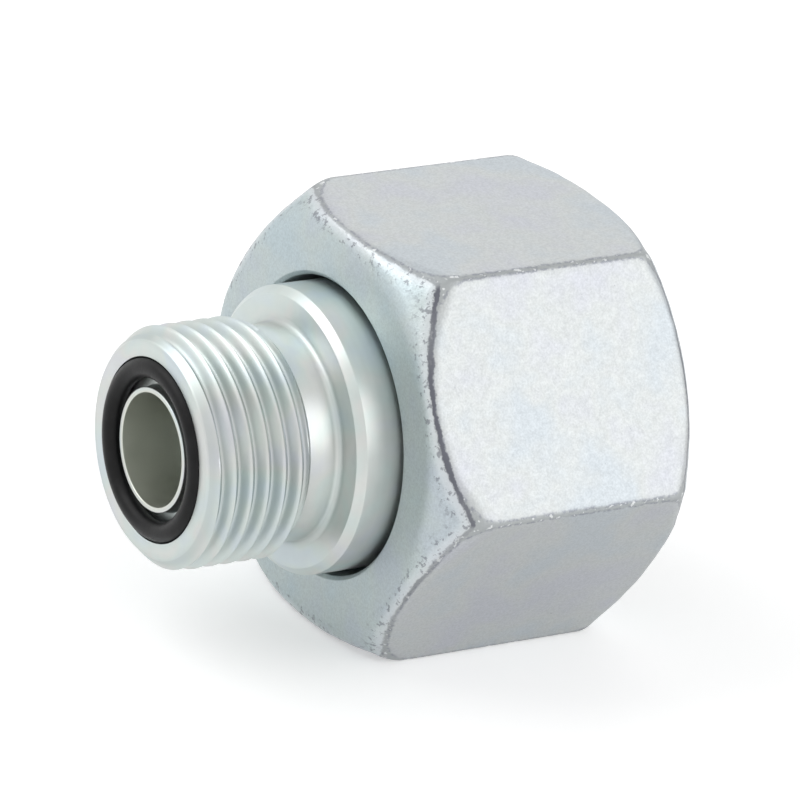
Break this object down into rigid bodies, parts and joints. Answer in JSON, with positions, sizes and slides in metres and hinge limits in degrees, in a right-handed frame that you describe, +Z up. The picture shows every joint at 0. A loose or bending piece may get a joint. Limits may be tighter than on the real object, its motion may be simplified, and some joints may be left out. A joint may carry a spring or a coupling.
{
  "type": "hydraulic face seal reducer fitting",
  "caption": "Straight hydraulic reducer that joins a large face seal port to a smaller one, with an O-ring in its male end and a loose hexagonal nut.",
  "frame": {"origin": "centre of the male sealing face, on the fitting's axis", "axes": "+X along the axis from the male sealing face into the fitting and out of the nut's open end, +Z up, with the nut lying on one of its flats"},
  "size_m": [0.0431, 0.0414, 0.036],
  "materials": {
    "body_steel": "turned steel, bright zinc plated, satin",
    "seal_rubber": "black nitrile rubber, satin",
    "nut_steel": "forged steel, bright zinc plated, finely grained"
  },
  "bodies": {
    "body": {"fitting_body": "body_steel", "face_seal_o_ring": "seal_rubber"},
    "nut": {"swivel_nut": "nut_steel"}
  },
  "joints": [
    {"name": "nut_turn", "type": "hinge", "parent": "body", "child": "nut", "pos_m": [0.022, 0, 0], "axis": [1, 0, 0], "continuous": true}
  ]
}
